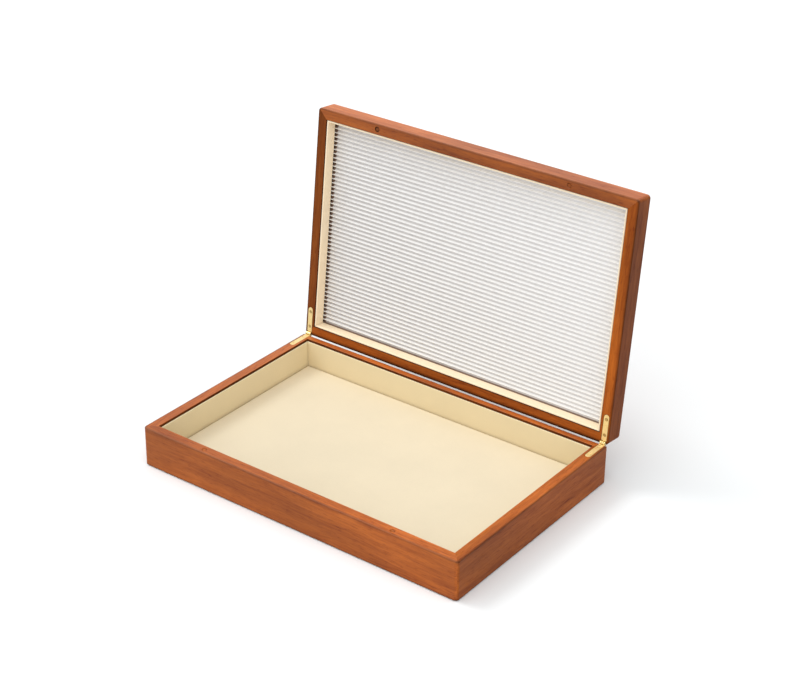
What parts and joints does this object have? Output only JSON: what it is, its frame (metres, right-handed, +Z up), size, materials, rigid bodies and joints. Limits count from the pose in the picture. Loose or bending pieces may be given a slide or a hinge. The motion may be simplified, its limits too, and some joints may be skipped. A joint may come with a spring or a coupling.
{
  "type": "jewelry chest",
  "caption": "Flat wooden jewelry box with a hinged lid on brass leaves, leather linings, a padded cream tray floor and a fluted lid panel.",
  "frame": {"origin": "middle of the felt under the box, on the surface that it stands on", "axes": "+X to the box's right seen from its front, +Y to its back, +Z up; the lid stands open"},
  "size_m": [0.33, 0.2622, 0.2553],
  "materials": {
    "oiled_wood": "oiled red-brown hardwood, satin",
    "board": "plain unfinished board",
    "lining": "thin matt cream leather over board",
    "cushion": "soft cream suede cloth",
    "felt": "dark brown felt",
    "fluted_white": "satin silver white",
    "brass": "pale polished brass",
    "steel": "plain"
  },
  "bodies": {
    "base": {"base_front_rail": "oiled_wood", "base_back_rail": "oiled_wood", "base_left_rail": "oiled_wood", "base_right_rail": "oiled_wood", "base_bottom_board": "board", "underside_felt": "felt", "base_front_liner": "lining", "base_back_liner": "lining", "base_left_liner": "lining", "base_right_liner": "lining", "tray_pad_board": "board", "tray_pad": "cushion", "base_left_magnet": "steel", "base_right_magnet": "steel", "base_left_magnet_plug": "oiled_wood", "base_right_magnet_plug": "oiled_wood", "left_hinge_base_leaf": "brass", "right_hinge_base_leaf": "brass", "left_hinge_pin": "steel", "right_hinge_pin": "steel", "left_hinge_base_front_screw": "brass", "left_hinge_base_rear_screw": "brass", "right_hinge_base_front_screw": "brass", "right_hinge_base_rear_screw": "brass"},
    "lid": {"lid_front_rail": "oiled_wood", "lid_back_rail": "oiled_wood", "lid_left_rail": "oiled_wood", "lid_right_rail": "oiled_wood", "lid_top_panel": "oiled_wood", "fluted_panel": "fluted_white", "lid_front_lining": "lining", "lid_back_lining": "lining", "lid_left_lining": "lining", "lid_right_lining": "lining", "lid_left_magnet": "steel", "lid_right_magnet": "steel", "lid_left_magnet_plug": "oiled_wood", "lid_right_magnet_plug": "oiled_wood", "left_hinge_lid_leaf": "brass", "right_hinge_lid_leaf": "brass", "left_hinge_lid_front_screw": "brass", "left_hinge_lid_rear_screw": "brass", "right_hinge_lid_front_screw": "brass", "right_hinge_lid_rear_screw": "brass"}
  },
  "joints": [
    {"name": "lid_hinge", "type": "hinge", "parent": "base", "child": "lid", "pos_m": [0, 0.1087, 0.03795], "axis": [1, 0, 0], "range_deg": [0, 96]}
  ]
}
